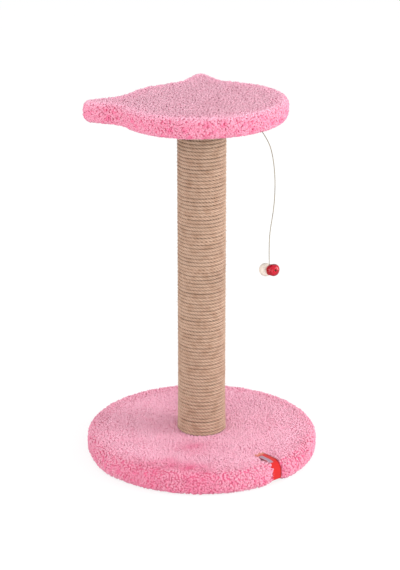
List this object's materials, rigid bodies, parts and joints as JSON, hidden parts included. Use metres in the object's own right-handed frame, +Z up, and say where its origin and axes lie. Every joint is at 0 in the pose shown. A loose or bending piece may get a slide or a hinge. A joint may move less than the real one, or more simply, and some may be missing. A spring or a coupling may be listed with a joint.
{
  "type": "cat scratcher with platform",
  "caption": "Rope-wound scratching post on a round plush-covered base, with a plush platform shaped like a cat's head and a bead toy on a string.",
  "frame": {"origin": "on the floor under the axis of the post, at the middle of the round base", "axes": "+Z up along the post, +Y towards the ears of the platform, -Y towards its chin, +X towards its right cheek seen from above with the ears away"},
  "size_m": [0.35, 0.35, 0.548],
  "materials": {
    "board": "raw chipboard",
    "plush": "short curled pile, pink",
    "lining": "black non-woven cloth",
    "steel": "zinc plated",
    "ribbon": "satin ribbon, red",
    "tube": "wound brown card",
    "plug": "raw softwood",
    "rope": "twisted natural jute",
    "foam": "soft foam",
    "twine": "thin jute twine",
    "bead_red": "gloss red",
    "bead_white": "cream white"
  },
  "bodies": {
    "stand": {"base_board": "board", "base_cover": "plush", "base_lining": "lining", "base_staples": "steel", "base_washer": "steel", "base_bolt": "steel", "label_ribbon": "ribbon", "label_staple": "steel", "post_core": "tube", "lower_plug": "plug", "lower_tee_nut": "steel", "upper_plug": "plug", "plug_brads": "steel", "rope_winding_bottom": "rope", "rope_winding_middle": "rope", "rope_winding_top": "rope", "rope_tacks": "steel", "platform_board": "board", "platform_pad": "foam", "platform_cover": "plush", "platform_lining": "lining", "platform_staples": "steel", "platform_stud": "steel", "platform_tee_nut": "steel", "toy_staple": "steel"},
    "toy_loop": {"toy_loop": "twine"},
    "toy_line": {"toy_top_knot": "twine", "toy_string": "twine", "toy_tie": "twine", "toy_tie_knot": "twine"},
    "red_bead": {"toy_bead_red": "bead_red"},
    "white_bead": {"toy_bead_white": "bead_white"}
  },
  "joints": [
    {"name": "toy_swing_out", "type": "hinge", "parent": "stand", "child": "toy_loop", "pos_m": [0.023, -0.094, 0.5146], "axis": [1, 0, 0], "range_deg": [-40, 12.5]},
    {"name": "toy_swing_side", "type": "hinge", "parent": "toy_loop", "child": "toy_line", "pos_m": [0.023, -0.094, 0.5106], "axis": [0, 1, 0], "range_deg": [-35, 35]},
    {"name": "red_bead_spin", "type": "hinge", "parent": "toy_line", "child": "red_bead", "pos_m": [0.0319, -0.1039, 0.3028], "axis": [-0.3152, -0.9154, 0.2504], "continuous": true},
    {"name": "white_bead_spin", "type": "hinge", "parent": "toy_line", "child": "white_bead", "pos_m": [0.0319, -0.1039, 0.3028], "axis": [-0.3152, -0.9154, 0.2504], "continuous": true}
  ]
}
